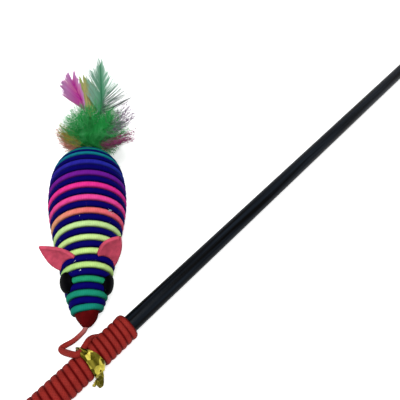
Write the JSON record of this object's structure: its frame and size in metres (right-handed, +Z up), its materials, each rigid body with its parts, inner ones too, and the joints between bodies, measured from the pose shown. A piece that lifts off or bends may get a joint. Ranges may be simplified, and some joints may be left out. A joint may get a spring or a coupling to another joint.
{
  "type": "cat teaser wand",
  "caption": "Slim rod with a grip, an elastic cord wound near its tip and held by a twist tie, and a yarn mouse with a feather tail on the cord, for a person to dangle before a cat.",
  "frame": {"origin": "on the rod's axis at the middle of the handle grip", "axes": "+X along the rod towards its tip, +Z up from the surface that the wand lies on; the mouse lies on the -Y side"},
  "size_m": [0.3867, 0.101, 0.0361],
  "materials": {
    "rod_black": "gloss",
    "end_red": "satin",
    "cord_red": "woven elastic",
    "foil_gold": "crumpled metallic foil",
    "yarn_navy": "soft yarn",
    "yarn_rainbow": "soft variegated yarn",
    "felt_nose": "felt",
    "felt_ear": "felt",
    "eye_black": "gloss",
    "core_white": "matte",
    "glue_clear": "gloss",
    "feather_green": "soft down",
    "feather_pale": "soft feather",
    "feather_magenta": "soft feather",
    "feather_olive": "soft feather",
    "feather_purple": "soft feather",
    "feather_salmon": "soft feather",
    "feather_lime": "soft feather"
  },
  "bodies": {
    "wand": {"rod": "rod_black", "handle_grip": "end_red", "tip_cap": "end_red", "cord_hitch": "cord_red", "cord_winding": "cord_red", "cord_return": "cord_red", "twist_tie_band": "foil_gold", "twist_tie_twist": "foil_gold", "twist_tie_tails": "foil_gold"},
    "lead": {"cord_lead": "cord_red", "cord_nose_knot": "cord_red"},
    "mouse": {"core_front_shell": "core_white", "core_rear_shell": "core_white", "yarn_navy": "yarn_navy", "yarn_rainbow": "yarn_rainbow", "nose_cap": "felt_nose", "left_ear": "felt_ear", "right_ear": "felt_ear", "left_eye": "eye_black", "right_eye": "eye_black"},
    "tail": {"feather_bead": "glue_clear", "feather_tuft": "feather_green", "hackle_green": "feather_pale", "feather_magenta": "feather_magenta", "feather_olive": "feather_olive", "feather_purple": "feather_purple", "feather_wisp": "feather_purple", "feather_salmon": "feather_salmon", "feather_lime": "feather_lime"}
  },
  "joints": [
    {"name": "lead_swing", "type": "hinge", "parent": "wand", "child": "lead", "pos_m": [0.2824, -0.007, 0.0019], "axis": [0, 0, 1], "range_deg": [-5, 35]},
    {"name": "mouse_twist", "type": "hinge", "parent": "lead", "child": "mouse", "pos_m": [0.2722, -0.0097, 0.00124], "axis": [-0.633, -0.7544, 0.1736], "range_deg": [-90, 90]},
    {"name": "tail_sway", "type": "hinge", "parent": "mouse", "child": "tail", "pos_m": [0.23175, -0.05791, 0.01233], "axis": [0.1116, 0.133, 0.9848], "range_deg": [-15, 15]}
  ]
}
